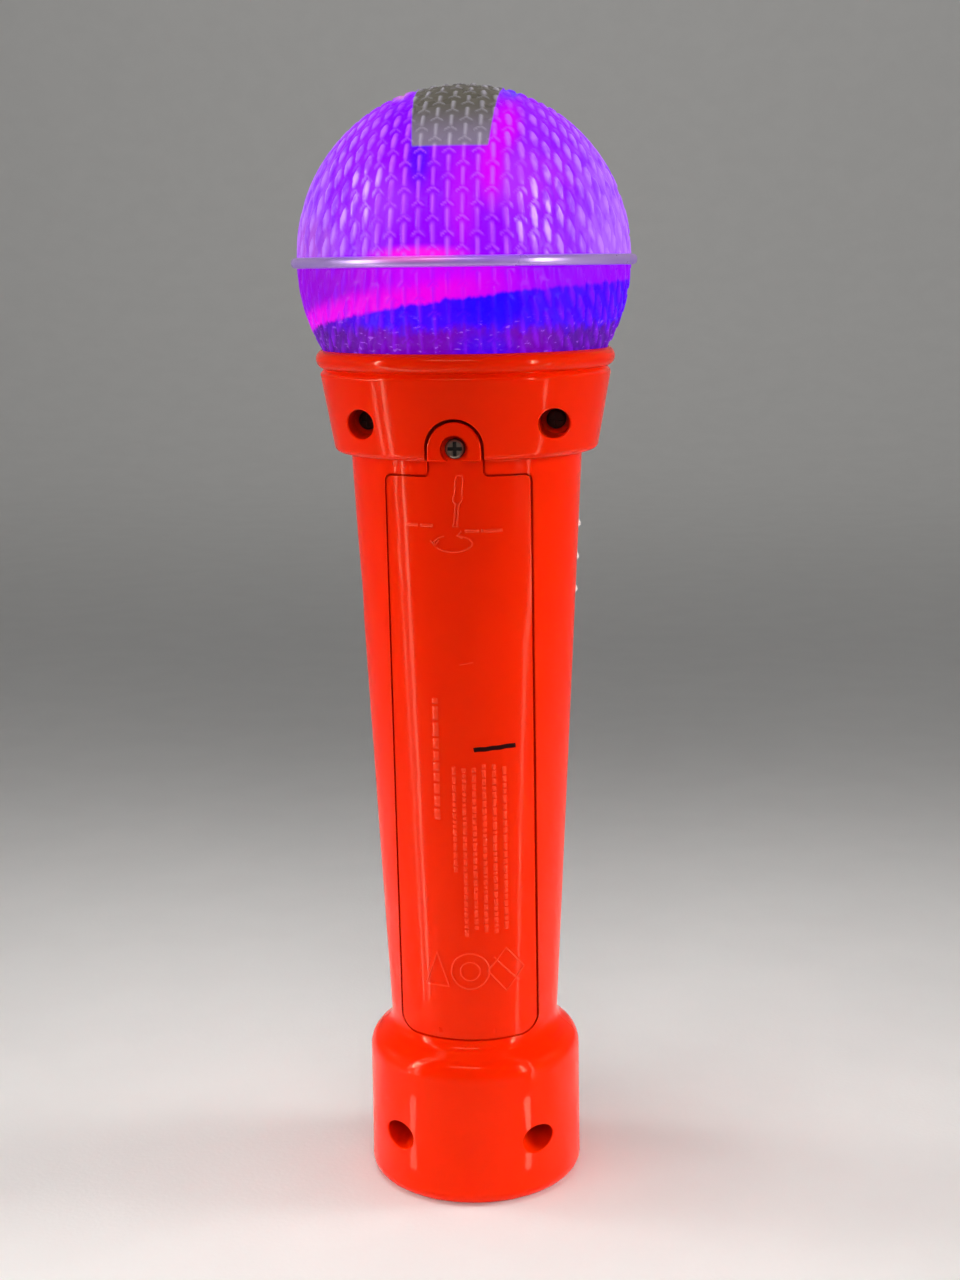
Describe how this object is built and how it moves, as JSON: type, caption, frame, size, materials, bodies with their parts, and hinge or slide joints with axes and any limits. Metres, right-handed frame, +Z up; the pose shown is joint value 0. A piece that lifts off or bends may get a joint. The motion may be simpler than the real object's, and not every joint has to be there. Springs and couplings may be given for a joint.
{
  "type": "toy microphone",
  "caption": "Light-up toy microphone: two-shell tapered handle, screw-held battery door, textured round lit head with a ring, front controls and a base speaker.",
  "frame": {"origin": "centre of the flat base that the microphone stands on", "axes": "+Z up the handle to the head, -Y out of the back with the battery door, +Y out of the front with the controls"},
  "size_m": [0.076, 0.076, 0.2506],
  "materials": {
    "red_shell": "glossy moulded orange-red plastic",
    "head_plastic": "clear textured plastic, lit violet, blue and magenta from inside",
    "silver_trim": "satin silver-lilac plastic",
    "stud_trim": "pale gloss plastic",
    "button_violet": "gloss violet plastic",
    "button_blue": "gloss blue plastic",
    "button_pink": "gloss pink plastic",
    "slider_black": "black ribbed plastic",
    "screw_steel": "dark plated steel",
    "contact_steel": "nickel plated steel",
    "cell_jacket": "plain printed foil jacket",
    "holder_plastic": "black moulded plastic",
    "board_green": "green circuit board laminate",
    "chip_black": "black epoxy",
    "capacitor_sleeve": "dark blue sleeve",
    "switch_black": "black plastic",
    "mast_white": "white plastic",
    "shield_grey": "grey opaque plastic",
    "red_led": "tinted epoxy",
    "blue_led": "tinted epoxy",
    "speaker_steel": "plated steel",
    "speaker_paper": "black paper cone",
    "lead_insulation": "vinyl insulation"
  },
  "bodies": {
    "handle": {"front_shell": "red_shell", "rear_shell": "red_shell", "upper_dome": "head_plastic", "lower_bowl": "head_plastic", "equator_ring": "silver_trim", "control_panel": "silver_trim", "trim_studs": "stud_trim", "case_screws": "screw_steel", "board_screws": "screw_steel", "contact_springs": "contact_steel", "contact_plates": "contact_steel", "battery_left": "cell_jacket", "battery_right": "cell_jacket", "battery_lower": "cell_jacket", "battery_holder": "holder_plastic", "main_board": "board_green", "led_board": "board_green", "sound_chip": "chip_black", "capacitor": "capacitor_sleeve", "button_switches": "switch_black", "slide_switch": "switch_black", "led_mast": "mast_white", "light_shield": "shield_grey", "red_leds": "red_led", "blue_leds": "blue_led", "speaker_frame": "speaker_steel", "speaker_magnet": "speaker_steel", "speaker_cone": "speaker_paper", "speaker_leads": "lead_insulation", "battery_leads": "lead_insulation", "led_leads": "lead_insulation"},
    "door": {"battery_door": "red_shell"},
    "door_screw": {"door_screw": "screw_steel"},
    "play_button": {"play_button": "button_violet"},
    "song_button": {"song_button": "button_blue"},
    "sound_button": {"sound_button": "button_pink"},
    "power_slider": {"power_slider": "slider_black"}
  },
  "joints": [
    {"name": "door_hinge", "type": "hinge", "parent": "handle", "child": "door", "pos_m": [0, -0.0198, 0.0388], "axis": [1, 0, 0], "range_deg": [0, 35]},
    {"name": "door_screw_turn", "type": "hinge", "parent": "door", "child": "door_screw", "pos_m": [0, -0.026, 0.1742], "axis": [0, 1, 0], "continuous": true},
    {"name": "play_press", "type": "slide", "parent": "handle", "child": "play_button", "axis": [0, -1, 0], "range_m": [0, 0.0012], "stiffness_N_per_m": 300},
    {"name": "song_press", "type": "slide", "parent": "handle", "child": "song_button", "axis": [0, -1, 0], "range_m": [0, 0.0012], "stiffness_N_per_m": 300},
    {"name": "sound_press", "type": "slide", "parent": "handle", "child": "sound_button", "axis": [0, -1, 0], "range_m": [0, 0.0012], "stiffness_N_per_m": 300},
    {"name": "power_slide", "type": "slide", "parent": "handle", "child": "power_slider", "axis": [0, 0, -1], "range_m": [0, 0.004]}
  ]
}
